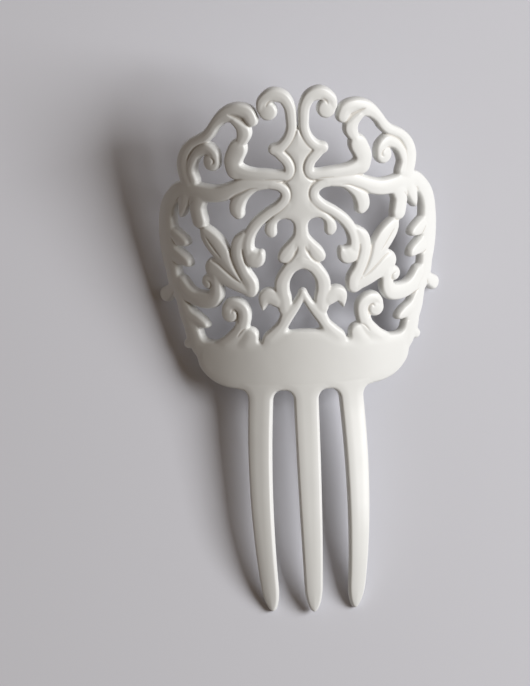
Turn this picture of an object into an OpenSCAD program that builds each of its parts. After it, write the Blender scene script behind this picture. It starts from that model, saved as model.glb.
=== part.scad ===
// Decorative hair comb: an openwork crest of scrolls over a plain band with three teeth.
// It is drawn flat on its front skin, as [across, along] in millimetres from the root line of the
// teeth, and is then bent round the head. It lies as on a table, with its hollow side down.

/* [Crest] */
// Width of the crest across its beads, along the front skin
crest_w = 80.4; // [75:0.2:86]
// Height of the crest above the root line of the teeth, along the front skin
crest_h = 76.8; // [70:0.2:84]
// Thickness of the scrolls at their crown
scroll_t = 2.5; // [2.2:0.1:3]
// Height of the scrolls' side walls, up to where the crown rounds over
wall_h = 1.5; // [1:0.1:1.9]
// Width of a plain scroll line
line_w = 2.5; // [2.3:0.05:2.8]
// Thickness of the sunk panel in the middle
panel_t = 2.2; // [1.8:0.1:2.4]

/* [Band] */
// Width of the band, along the front skin
band_w = 56.6; // [54:0.2:60]
// Height of the band above the root line of the teeth
band_h = 12; // [10:0.2:14]
// Thickness of the band
band_t = 2.6; // [2.4:0.1:3]
// Height of the band's round lower corners
band_corner_h = 6.2; // [4:0.1:7]
// Height of the band's round upper corners
band_shoulder_h = 1.6; // [1:0.1:3]

/* [Teeth] */
// Length of the teeth below the root line, along the front skin
tooth_len = 56.5; // [48:0.5:62]
// Width of a tooth below its flared root
tooth_w = 6.1; // [5:0.1:6.8]
// Width of a tooth at its tip, before the tip rounds off
tip_w = 4; // [2.6:0.1:4.6]
// Length of the rounded tip
tip_round = 7; // [3:0.5:12]
// Thickness of a tooth at its root
tooth_t = 2.6; // [2.4:0.1:3]
// Thickness of a tooth at its tip
tip_t = 1.7; // [1.2:0.1:2.2]
// Distance between the middles of two teeth at the root line
tooth_pitch = 11.4; // [10:0.1:12.6]
// How far a side tooth bows outwards on the way to its tip
tooth_bow = 1.3; // [0:0.1:2]
// How far a side tooth's tip turns inwards
tooth_toe = 0.8; // [0:0.1:2]

/* [Bend] */
// Radius of the comb's inside, across the head
head_r = 39.5; // [36:0.5:46]
// Slope of the crest against the table
crest_lean = 17.5; // [12:0.5:22]
// Slope of the teeth against the table, where they are straight
tooth_slope = 4; // [2:0.5:8]
// Radius of the heel, the hollow bend from the teeth to the crest
heel_r = 42; // [30:1:60]
// How far below the root line the heel starts
heel_drop = 7; // [4:0.5:12]
// How far below the root line the teeth start to curve down to their tips
shank_len = 29; // [20:0.5:36]
// Radius of the curve down to the tips
tip_curve_r = 70; // [55:1:100]

/* [Hidden] */
// Size that the crest's stations are drawn at: half width, band height, full height and plain line
drawn_half_w = 40.2;
drawn_band_h = 11.8;
drawn_h = 75.2;
drawn_line_w = 2.5;

// Longest stretch and sharpest turn between two sections of a scroll, and longest stretch on a tooth
scroll_step = 3.2;
scroll_turn = 32;
tooth_step = 5;
// Rounding of the long edges of the band, the panel and the teeth, and how much of it the back has
edge_r = 0.9;
back_round = 0.5;
plastic = [0.86, 0.86, 0.85];

front_r = head_r + scroll_t;
slot_r = (tooth_pitch - tooth_w) / 2;
root_w = 3 * tooth_pitch;
heel_end = heel_r * (crest_lean - tooth_slope) * PI / 180 - heel_drop;

SIDES = ["left", "right"];
PAIRS = [
    "tooth", "crown_curl", "waist_scroll", "shoulder_scroll", "shoulder_leaf", "shoulder_volute",
    "side_arm", "arm_lobe", "rail_spur", "drop", "lyre_arm", "upper_leaflet", "lower_leaflet",
    "leaf_stalk", "long_leaf", "fan_leaf", "lower_arm", "outer_rail", "bead", "skirt_leaf",
    "band_volute", "band_bud", "ogee_hook"
];
NODES = concat(["band", "middle_tooth", "centre_panel", "ogee_loop", "gable"],
               [for (pair = PAIRS, side = SIDES) str(side, "_", pair)]);
node = "all";

function degrees(arc, r) = arc / r * 180 / PI;
function reversed(s) = [for (i = [len(s) - 1:-1:0]) s[i]];

// Slope of the comb's middle line against the table, at a height along the skin
function slope(v) =
    v > heel_end ? crest_lean
    : v > -heel_drop ? tooth_slope + degrees(v + heel_drop, heel_r)
    : v >= -shank_len ? tooth_slope
    : tooth_slope + degrees(-shank_len - v, tip_curve_r);

function arc_step(r, from, to) = r * [sin(to) - sin(from), cos(from) - cos(to)];

// Middle line of the front skin, as [y, z] from the point where the heel starts
function middle(v) =
    v > heel_end ? middle(heel_end) + (v - heel_end) * [cos(crest_lean), sin(crest_lean)]
    : v > -heel_drop ? arc_step(heel_r, tooth_slope, slope(v))
    : v >= -shank_len ? (v + heel_drop) * [cos(tooth_slope), sin(tooth_slope)]
    : middle(-shank_len) - arc_step(tip_curve_r, tooth_slope, slope(v));

// A point of the flat drawing, at a height above the comb's back, bent round the head
function bent(u, v, h) =
    let (turn = degrees(u, front_r), m = middle(v), rise = (head_r + h) * cos(turn) - front_r)
    [(head_r + h) * sin(turn), m[0] - sin(slope(v)) * rise, m[1] + cos(slope(v)) * rise];

// A station [across, along, half width] of the crest's drawing, at the comb's own size
function to_size(p) = [
    p[0] * crest_w / 2 / drawn_half_w,
    band_h + (p[1] - drawn_band_h) * (crest_h - band_h) / (drawn_h - drawn_band_h),
    p[2] * line_w / drawn_line_w
];

// Smooth line through stations, in finer steps where it turns
function between(a, b, c, d, t) =
    b + (c - a) * t / 2 + (2 * a - 5 * b + 4 * c - d) * t ^ 2 / 2 + (3 * b - a - 3 * c + d) * t ^ 3 / 2;
function way(from, to) = let (d = [to[0] - from[0], to[1] - from[1]]) d / norm(d);
function turn(one, other) = acos(min(1, max(-1, one * other)));
function flow(s) = let (n = len(s) - 1) [
    for (i = [0:n - 1])
        let (a = s[max(i - 1, 0)], b = s[i], c = s[i + 1], d = s[min(i + 2, n)],
             parts = ceil(max(norm([c[0] - b[0], c[1] - b[1]]) / scroll_step,
                              turn(way(a, c), way(b, d)) / scroll_turn)))
        for (k = [0:parts - 1]) between(a, b, c, d, k / parts),
    s[n]
];

// Round ends of a line: narrower stations along half a circle
end_turns = [35, 68];
function round_end(p, ahead) = [
    for (a = end_turns) [p[0] + ahead[0] * p[2] * sin(a), p[1] + ahead[1] * p[2] * sin(a), p[2] * cos(a)]
];
function with_ends(s) = let (n = len(s) - 1) concat(
    reversed(round_end(s[0], way(s[1], s[0]))), s, round_end(s[n], way(s[n - 1], s[n])));

// Section of a scroll of half width w: [across, height], over its crown and back along its underside.
// What cuts another piece is sunk a little below the back, so that both backs come out flush.
cutter_sink = 0.6;
$sink = 0;
crown_turns = [180, 144, 108, 72, 36, 0];
full_crown_w = 1.1;
back_share = 0.8;
function dome(w) =
    let (crown = (scroll_t - wall_h) * min(1, w / full_crown_w))
    concat([for (a = crown_turns) [w * cos(a), wall_h + crown * sin(a)]],
           [[w * back_share, -$sink], [-w * back_share, -$sink]]);

// Section of a flat piece of half width w and thickness t, with rounded edges and some cells across
function slab(w, t, cells) =
    let (r = min(edge_r, w / 2), flat = w - r, cut = r * (1 - cos(45)),
         corner = [[-w, t - r], [-w + cut, t - cut]],
         top = concat(corner, [for (k = [0:cells]) [flat * (2 * k / cells - 1), t]],
                      [for (p = reversed(corner)) [-p[0], p[1]]]))
    concat(top, [for (p = reversed(top)) [p[0], (t - p[1]) * back_round - $sink]]);

// Sections set square to a line of stations, each with its own shape
function across(s) = let (n = len(s) - 1) [
    for (i = [0:n]) let (d = way(s[max(i - 1, 0)], s[min(i + 1, n)])) [-d[1], d[0]]
];
function scroll_points(stations) =
    let (s = with_ends(flow([for (p = stations) to_size(p)])), side = across(s))
    [for (i = [0:len(s) - 1], q = dome(s[i][2]))
        bent(s[i][0] + side[i][0] * q[0], s[i][1] + side[i][1] * q[0], q[1])];

// Faces of a body made of rings with n points each, closed by strips at both ends
function ring_faces(count, n) = let (last = count - n) concat(
    [for (a = [0:n:last - n], k = [0:n - 1])
        let (i = a + k, j = a + (k + 1) % n)
        each [[i, j, i + n], [j, j + n, i + n]]],
    [for (k = [0:n / 2 - 2])
        let (a = k, b = k + 1, c = n - 2 - k, d = n - 1 - k)
        each [[a, c, b], [a, d, c], [a, b, c] + [last, last, last], [a, c, d] + [last, last, last]]]);

module ringed(points, n) {
    polyhedron([for (p = points) p + rest], ring_faces(len(points), n));
}

// A scroll line through stations, and the round boss that a line of one station stands for
module scroll(stations) {
    ringed(scroll_points(stations), len(dome(1)));
}

boss_sides = 14;
boss_rings = [[back_share, 0, 0], [1, 1, 0], [0.82, 1, 0.55], [0.5, 1, 0.85], [0.12, 1, 1]];
function boss_points(station) = let (c = to_size(station)) [
    for (ring = boss_rings, k = [0:boss_sides - 1])
        let (a = -360 * k / boss_sides, r = c[2] * ring[0], wall = ring[1] > 0 ? wall_h : -$sink)
        bent(c[0] + r * cos(a), c[1] + r * sin(a), wall + ring[2] * (scroll_t - wall_h))
];
module boss(station) {
    ringed(boss_points(station), boss_sides);
}

module form(lines) {
    for (line = lines) if (len(line) > 1) scroll(line); else boss(line[0]);
}
function mirrored(lines) = [for (line = lines) [for (p = line) [-p[0], p[1], p[2]]]];

// Teeth: half width and middle at a share of the length, and the flare that rounds the slots' tops
flare_turns = [90, 60, 40, 20];
tip_shares = [0.75, 0.5, 0.3, 0.15, 0.05, 0.01];
tooth_cells = 2;
function tooth_half(v) =
    let (t = -v / tooth_len, left = min(1, (tooth_len + v) / tip_round))
    (tooth_w - (tooth_w - tip_w) * t ^ 2) / 2 * sqrt(1 - (1 - left) ^ 2);
function tooth_rows() =
    let (body = tooth_len - slot_r - tip_round, parts = ceil(body / tooth_step))
    concat([for (a = flare_turns) [-slot_r * (1 - sin(a)), slot_r * (1 - cos(a))]],
           [for (k = [0:parts]) [-slot_r - body * k / parts, 0]],
           [for (share = tip_shares) [-tooth_len + tip_round * share, 0]]);
function tooth_points(place) = [
    for (row = tooth_rows())
        let (v = row[0], t = -v / tooth_len,
             u = place * (tooth_pitch + tooth_bow * 4 * t * (1 - t) - tooth_toe * t ^ 2),
             thick = tooth_t + (tip_t - tooth_t) * t)
        for (q = slab(tooth_half(v) + row[1], thick, tooth_cells)) bent(u + q[0], v, q[1])
];

// Lines of the crest's right half, as stations [across, along, half width] in the drawing
crown_curl_lines = [
    [[9, 70.3, 1.2], [8.5, 72, 1.45], [6.1, 73.5, 1.75], [3.4, 72.9, 1.6], [1.9, 70.5, 1.45],
     [1.55, 67.5, 1.35], [1.6, 65, 1.3], [2.6, 62.5, 1.3], [4.4, 60.6, 1.35], [6.2, 60, 1.35]],
    [[7.35, 69.55, 2.35]]
];
waist_scroll_lines = [
    [[5.6, 59.7, 1.2], [4.4, 58.6, 1.4], [2.95, 57, 1.4], [2.35, 55.2, 1.4], [2.9, 53.8, 1.4],
     [4.9, 53.4, 1.35], [8, 53.5, 1.5], [11, 53.6, 1.5], [14.3, 53.8, 1.7]]
];
shoulder_scroll_lines = [
    [[11.6, 67.3, 1.75], [12.5, 69, 1.8], [14.8, 69.5, 1.8], [17.2, 68.6, 2.1], [19.3, 67.5, 1.7],
     [21.2, 65.6, 1.4], [22.7, 63.5, 1.4], [24.2, 62.1, 1.4], [26, 61.1, 1.35], [28.1, 59.8, 1.4],
     [30.1, 57.5, 1.65], [31, 54.8, 1.9], [30.7, 52.4, 2], [29.6, 50, 2.1]]
];
shoulder_leaf_lines = [
    [[15.6, 67.2, 1.6], [14.2, 65.8, 1.75], [13.55, 64, 1.85], [14.1, 62.3, 1.5], [14.7, 61.3, 1.35],
     [15.3, 60, 2.3], [16, 58.6, 2.35], [16.6, 57.2, 2.3], [16.7, 56, 2.25], [16.2, 54.4, 2.1]]
];
shoulder_volute_lines = [
    [[21.6, 56.3, 1.35], [21.6, 57.8, 1.4], [22.6, 58.9, 1.45], [24.2, 59.2, 1.6], [26.6, 57.7, 1.35],
     [28.1, 55.4, 1.25], [28.7, 53, 1.25], [28.1, 50.8, 1.5]],
    [[22.5, 56, 2.25]]
];
side_arm_lines = [
    [[7, 51.6, 1.3], [10.5, 51.7, 1.55], [14, 50.9, 1.9], [17.5, 49.4, 2], [21, 48.2, 2.05],
     [24.5, 47.95, 2.15], [28, 48, 2.25], [31, 47.9, 2.1]]
];
arm_lobe_lines = [[[26.9, 46.4, 2.4], [27.3, 44.4, 2.1], [27, 42.4, 2.05], [26.6, 40.9, 2.05]]];
rail_spur_lines = [
    [[30.3, 47.2, 1.8], [31.1, 45, 1.75], [31.6, 43.3, 1.35], [32, 42, 0.8], [32.15, 41.3, 0.4]]
];
drop_lines = [
    [[8.5, 51, 0.85], [11.5, 50.4, 1.1], [14.3, 48.6, 1.6], [15.8, 46.4, 1.9], [16.1, 44.7, 1.85],
     [15.7, 43.8, 1.45]]
];
lyre_arm_lines = [
    [[7, 51.4, 1.2], [4.95, 50.8, 1.25], [3.6, 49.5, 1.35], [3.7, 47.7, 1.35], [5.4, 45.8, 1.3],
     [8.2, 44, 1.3], [10.9, 41.7, 1.4], [12.8, 39, 1.45], [13.6, 36.4, 1.5], [13.4, 34.3, 1.5]],
    [[12.3, 32.8, 2.3]],
    [[11.4, 32.4, 1.6], [10.5, 33.3, 1], [9.9, 34.3, 0.55]]
];
upper_leaflet_lines = [
    [[2.6, 46.2, 1.3], [3.9, 44.5, 1.2], [5.4, 43.4, 1], [6.7, 42.3, 1.05], [7.4, 41.1, 1.35],
     [7.6, 39.9, 1.5], [7.4, 39.3, 1.3]]
];
lower_leaflet_lines = [[[1.7, 37, 1], [2.7, 35.5, 1.5], [3.8, 34, 1.75], [4.6, 33.05, 1.45]]];
leaf_stalk_lines = [
    [[14.4, 38.7, 0.9], [15.8, 36.6, 1.75], [16.2, 34.2, 1.75], [15.7, 31.6, 1.65], [14.6, 28.9, 1.65],
     [13.2, 26.6, 1.8], [13.1, 24.8, 1.85]]
];
long_leaf_lines = [
    [[15.6, 26.9, 0.7], [18, 30.2, 1.6], [20.4, 33.4, 2.4], [22.3, 35.6, 2.6], [24, 37.3, 2.2],
     [25.1, 38.7, 1.35]]
];
fan_leaf_lines = [
    [[14.2, 24.8, 1.3], [16.6, 26, 1.75], [19.2, 27.6, 2.35], [21.4, 28.9, 2.75], [22.5, 29.5, 2.75]]
];
lower_arm_lines = [
    [[22.4, 27.4, 1.8], [22.3, 25, 1.7], [22.5, 23, 1.9], [23.6, 21.6, 2.1], [26, 21.15, 2.15],
     [28.6, 21.3, 2.05], [31, 22.3, 2.05], [33, 24.2, 2]],
    [[22.6, 26.3, 1.6], [24.4, 26, 1.9]]
];
outer_rail_lines = [
    [[30.4, 48.6, 1.8], [32.7, 47.6, 2.1], [35, 45.5, 2.15], [36.6, 43.2, 2.3], [37.4, 40.5, 2.45],
     [37.5, 38, 2.65], [37.3, 35, 2.85], [36.8, 32, 2.95], [36.4, 29.3, 2.6], [35.9, 27, 2.2],
     [35.4, 25, 2.2], [34.7, 23.2, 2.2], [33.6, 21.6, 2.1]],
    [[34.8, 35.6, 2.2], [33, 35.2, 1.75], [31.6, 34.9, 1.25], [30.8, 34.7, 0.65]],
    [[34.4, 30.9, 2.2], [32.6, 30.5, 1.75], [31.1, 30, 1.35], [30.3, 29.5, 0.75]]
];
bead_lines = [[[35.6, 22.4, 1.7], [37.6, 21.1, 1.7]], [[38.8, 20.3, 1.85]]];
skirt_leaf_lines = [
    [[33.2, 21.6, 1.8], [32.5, 19.4, 1.95], [31.4, 16.8, 2.3], [30.2, 14.2, 2.3], [29.4, 11.8, 2.4],
     [28.2, 9, 2]],
    [[30.2, 16.2, 2], [28, 15.7, 1.6], [26.3, 15.1, 1.15], [25.5, 14.8, 0.65]],
    [[29.6, 10.6, 1.5], [31.2, 9.4, 1.3]]
];
band_volute_lines = [
    [[19.6, 19.9, 1.3], [18.6, 20.9, 1.5], [16.8, 20.9, 1.6], [15.3, 19.8, 1.65], [15.05, 18, 1.6],
     [15.6, 16.2, 1.75], [16.2, 14.4, 1.9], [17.8, 12.6, 1.9], [20, 10.8, 1.7]],
    [[18.85, 18.5, 2.2]]
];
band_bud_lines = [[[14.6, 11.2, 2.2], [13.6, 13.3, 2.05]]];
ogee_hook_lines = [
    [[6.6, 22.7, 1.6], [7.2, 23, 1.85], [8.2, 23.4, 2.05], [9.3, 23.1, 1.85], [9.9, 21.7, 1.1],
     [10.05, 20.7, 0.6], [10.15, 20.1, 0.3]]
];
ogee_side_lines = [
    [[0, 31.9, 1.5], [2.6, 30.8, 1.65], [3.85, 29.4, 1.65], [4.8, 27.8, 1.75], [5.2, 26.2, 1.85],
     [5.05, 24.4, 1.75], [4.75, 22.6, 1.9], [4.55, 20.4, 1.8]]
];
gable_side_lines = [
    [[0, 24.1, 0.9], [1.6, 21.4, 1.1], [3, 19.95, 1.5], [4.2, 18.35, 1.6], [4.9, 17, 1.45],
     [5.7, 15.75, 1.4], [7, 14.2, 1.65], [8.4, 12.7, 1.9]]
];
ogee_stem_lines = [[[0, 36, 0.95], [0, 35, 1.15], [0, 33.8, 1.7], [0, 32.7, 2.1]]];
ogee_loop_lines = concat(ogee_side_lines, mirrored(ogee_side_lines), ogee_stem_lines);
gable_lines = concat(gable_side_lines, mirrored(gable_side_lines));

// Where the bent drawing rests: on the table, with its box centred on the origin
low_points = concat(tooth_points(0), tooth_points(1), boss_points(bead_lines[1][0]));
rest = [
    0,
    -(max([for (p = scroll_points(crown_curl_lines[0])) p[1]]) + min([for (p = low_points) p[1]])) / 2,
    -min([for (p = low_points) p[2]])
];

// One piece of the moulding, cut back where other pieces lie over it, and the band where it stands on that
module piece(side, lines, over, on_band = false) {
    color(plastic) mirror([side == "left" ? 1 : 0, 0, 0]) difference() {
        form(lines);
        for (other = over) form(other, $sink = cutter_sink);
        if (on_band) band_form($sink = cutter_sink);
    }
}

// The band: a plate with round corners. Its upper edge rises in the middle, under the gable, where the
// drawing gives it as [along, half width].
corner_turns = [0, 15, 30, 45, 60, 75, 90];
shoulder_turns = [0, 20, 40, 60, 68];
rise_rows = [[12.2, 9.6], [12.7, 8.4], [13.3, 7.2], [13.9, 5.9], [14.4, 4.4], [14.7, 2.6], [14.8, 0.9]];
band_cells = 12;
function band_rows() = concat(
    [for (a = corner_turns) [root_w / 2 + (band_w - root_w) / 2 * sin(a), band_corner_h * (1 - cos(a))]],
    [for (a = shoulder_turns) [band_w / 2 * cos(a), band_h - band_shoulder_h * (1 - sin(a))]],
    [for (row = rise_rows) to_size([row[1], row[0], 0])]);
module band_form() {
    points = [for (row = band_rows(), q = slab(row[0], band_t, band_cells)) bent(-q[0], row[1], q[1])];
    ringed(points, len(slab(1, 1, band_cells)));
}
module band() {
    color(plastic) band_form();
}

// Teeth, counted from the middle one
module tooth(place) {
    color(plastic) ringed(tooth_points(place), len(slab(1, 1, tooth_cells)));
}

// The sunk panel, as [along, half width]: its edges lie under the scrolls beside it
panel_rows = [
    [33.2, 1.2], [34.5, 1.6], [36, 2.4], [37, 2.9], [38, 2.3], [39, 1.85], [40.5, 1.7], [41.8, 2],
    [42.5, 2.7], [43, 3.8], [43.5, 4.6], [44, 5.5], [45, 4.4], [46, 3.3], [47, 2.5], [48, 2.2],
    [49, 2.2], [50.2, 2.4], [51.3, 3.2], [51.8, 4], [52.5, 4.2], [53, 2.7], [54, 1.5], [55, 1.15],
    [56, 1.2], [57.2, 1.75], [58.5, 2.9], [59.5, 4.1], [60, 4.2], [61, 3.2], [62.5, 2], [64, 0.9],
    [65.2, 0.4]
];
panel_cells = 2;
panel_edging = concat(crown_curl_lines, waist_scroll_lines, lyre_arm_lines, upper_leaflet_lines,
                      lower_leaflet_lines, ogee_side_lines, ogee_stem_lines);
module centre_panel() {
    rows = [for (row = panel_rows) to_size([row[1], row[0], 0])];
    points = [for (row = rows, q = slab(row[0], panel_t, panel_cells)) bent(-q[0], row[1], q[1])];
    color(plastic) difference() {
        ringed(points, len(slab(1, 1, panel_cells)));
        form(concat(panel_edging, mirrored(panel_edging)), $sink = cutter_sink);
    }
}

module ogee_loop() piece("right", ogee_loop_lines, []);
module gable() piece("right", gable_lines, [ogee_loop_lines], on_band = true);
module crown_curl(side) piece(side, crown_curl_lines, []);
module waist_scroll(side) piece(side, waist_scroll_lines, [crown_curl_lines]);
module shoulder_scroll(side) piece(side, shoulder_scroll_lines, [crown_curl_lines]);
module shoulder_leaf(side) piece(side, shoulder_leaf_lines, [shoulder_scroll_lines, waist_scroll_lines]);
module shoulder_volute(side) piece(side, shoulder_volute_lines, [shoulder_scroll_lines, shoulder_leaf_lines]);
module side_arm(side)
    piece(side, side_arm_lines,
          [waist_scroll_lines, shoulder_leaf_lines, shoulder_volute_lines, shoulder_scroll_lines]);
module arm_lobe(side) piece(side, arm_lobe_lines, [side_arm_lines, long_leaf_lines]);
module rail_spur(side) piece(side, rail_spur_lines, [side_arm_lines, arm_lobe_lines, outer_rail_lines]);
module drop(side) piece(side, drop_lines, [side_arm_lines, lyre_arm_lines]);
module lyre_arm(side) piece(side, lyre_arm_lines, [side_arm_lines, waist_scroll_lines]);
module upper_leaflet(side) piece(side, upper_leaflet_lines, [lyre_arm_lines]);
module lower_leaflet(side) piece(side, lower_leaflet_lines, [ogee_loop_lines]);
module leaf_stalk(side) piece(side, leaf_stalk_lines, [lyre_arm_lines]);
module long_leaf(side) piece(side, long_leaf_lines, [leaf_stalk_lines]);
module fan_leaf(side) piece(side, fan_leaf_lines, [leaf_stalk_lines, long_leaf_lines]);
module lower_arm(side) piece(side, lower_arm_lines, [fan_leaf_lines, outer_rail_lines]);
module outer_rail(side) piece(side, outer_rail_lines, [shoulder_scroll_lines, side_arm_lines]);
module bead(side) piece(side, bead_lines, [outer_rail_lines]);
module skirt_leaf(side)
    piece(side, skirt_leaf_lines, [outer_rail_lines, lower_arm_lines, bead_lines], on_band = true);
module band_volute(side) piece(side, band_volute_lines, [], on_band = true);
module band_bud(side) piece(side, band_bud_lines, [band_volute_lines], on_band = true);
module ogee_hook(side) piece(side, ogee_hook_lines, [ogee_loop_lines]);

function shown(name) = node == "all" || node == name;
if (shown("band")) band();
if (shown("middle_tooth")) tooth(0);
if (shown("centre_panel")) centre_panel();
if (shown("ogee_loop")) ogee_loop();
if (shown("gable")) gable();
for (side = SIDES) {
    if (shown(str(side, "_tooth"))) tooth(side == "left" ? -1 : 1);
    if (shown(str(side, "_crown_curl"))) crown_curl(side);
    if (shown(str(side, "_waist_scroll"))) waist_scroll(side);
    if (shown(str(side, "_shoulder_scroll"))) shoulder_scroll(side);
    if (shown(str(side, "_shoulder_leaf"))) shoulder_leaf(side);
    if (shown(str(side, "_shoulder_volute"))) shoulder_volute(side);
    if (shown(str(side, "_side_arm"))) side_arm(side);
    if (shown(str(side, "_arm_lobe"))) arm_lobe(side);
    if (shown(str(side, "_rail_spur"))) rail_spur(side);
    if (shown(str(side, "_drop"))) drop(side);
    if (shown(str(side, "_lyre_arm"))) lyre_arm(side);
    if (shown(str(side, "_upper_leaflet"))) upper_leaflet(side);
    if (shown(str(side, "_lower_leaflet"))) lower_leaflet(side);
    if (shown(str(side, "_leaf_stalk"))) leaf_stalk(side);
    if (shown(str(side, "_long_leaf"))) long_leaf(side);
    if (shown(str(side, "_fan_leaf"))) fan_leaf(side);
    if (shown(str(side, "_lower_arm"))) lower_arm(side);
    if (shown(str(side, "_outer_rail"))) outer_rail(side);
    if (shown(str(side, "_bead"))) bead(side);
    if (shown(str(side, "_skirt_leaf"))) skirt_leaf(side);
    if (shown(str(side, "_band_volute"))) band_volute(side);
    if (shown(str(side, "_band_bud"))) band_bud(side);
    if (shown(str(side, "_ogee_hook"))) ogee_hook(side);
}
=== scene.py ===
import math

import bpy
import numpy as np
from mathutils import Matrix, Vector


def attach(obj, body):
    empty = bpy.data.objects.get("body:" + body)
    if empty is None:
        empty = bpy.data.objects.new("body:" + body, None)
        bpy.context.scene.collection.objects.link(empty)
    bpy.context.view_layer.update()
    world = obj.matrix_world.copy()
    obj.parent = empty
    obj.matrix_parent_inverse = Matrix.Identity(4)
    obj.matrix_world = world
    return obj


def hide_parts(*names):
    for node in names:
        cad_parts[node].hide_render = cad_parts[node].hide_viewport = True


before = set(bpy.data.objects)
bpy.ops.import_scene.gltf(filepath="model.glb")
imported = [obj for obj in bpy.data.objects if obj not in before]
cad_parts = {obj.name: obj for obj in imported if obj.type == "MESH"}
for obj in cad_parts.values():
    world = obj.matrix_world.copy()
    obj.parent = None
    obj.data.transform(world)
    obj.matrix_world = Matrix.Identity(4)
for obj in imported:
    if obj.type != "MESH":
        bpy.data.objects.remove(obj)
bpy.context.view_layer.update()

MM = 0.001

# Thickness of the moulding, of the lower plate between its scrolls and at the thinnest place; how far, over
# what width and how tightly the edges round down to the side walls; the slight swell between the edges
FRONT_T = 2.5
PANEL_T = 2.35
LEAST_T = 0.9
EDGE_H = 0.85
EDGE_W = 0.65
EDGE_POWER = 2.2
SWELL_H = 0.3
SWELL_W = 2.4
# The crest is drawn from the top of the band up, and stretched a little to its real height
DRAWN_BAND_H = 11.8
CREST_STRETCH = 64.8 / 63.4

# The band, with round lower corners and a low shoulder at each end of its upper edge (turn in degrees)
BAND_W = 56.6
BAND_H = 12.0
BAND_CORNER_H = 6.2
BAND_SHOULDER_H = 1.6
BAND_SHOULDER_TURN = 68

# The teeth: the outer two bow out a little and toe in at their tips; the slots between them have round tops
TOOTH_LEN = 56.5
TOOTH_W = 6.1
TIP_W = 4.0
TIP_ROUND = 7.0
TIP_T = 1.7
TOOTH_PITCH = 11.4
TOOTH_BOW = 1.3
TOOTH_TOE = 0.8
SLOT_R = (TOOTH_PITCH - TOOTH_W) / 2
ROOT_LAP = 3.0

# The bend: round the head across; lengthwise a leaning crest, a curved heel, straight shanks and curved tips
HEAD_R = 39.5
CREST_LEAN = math.radians(17.5)
TOOTH_SLOPE = math.radians(4)
HEEL_R = 42.0
HEEL_DROP = 7.0
HEEL_LEN = HEEL_R * (CREST_LEAN - TOOTH_SLOPE)
SHANK_LEN = 29.0
TIP_CURVE_R = 70.0

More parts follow.
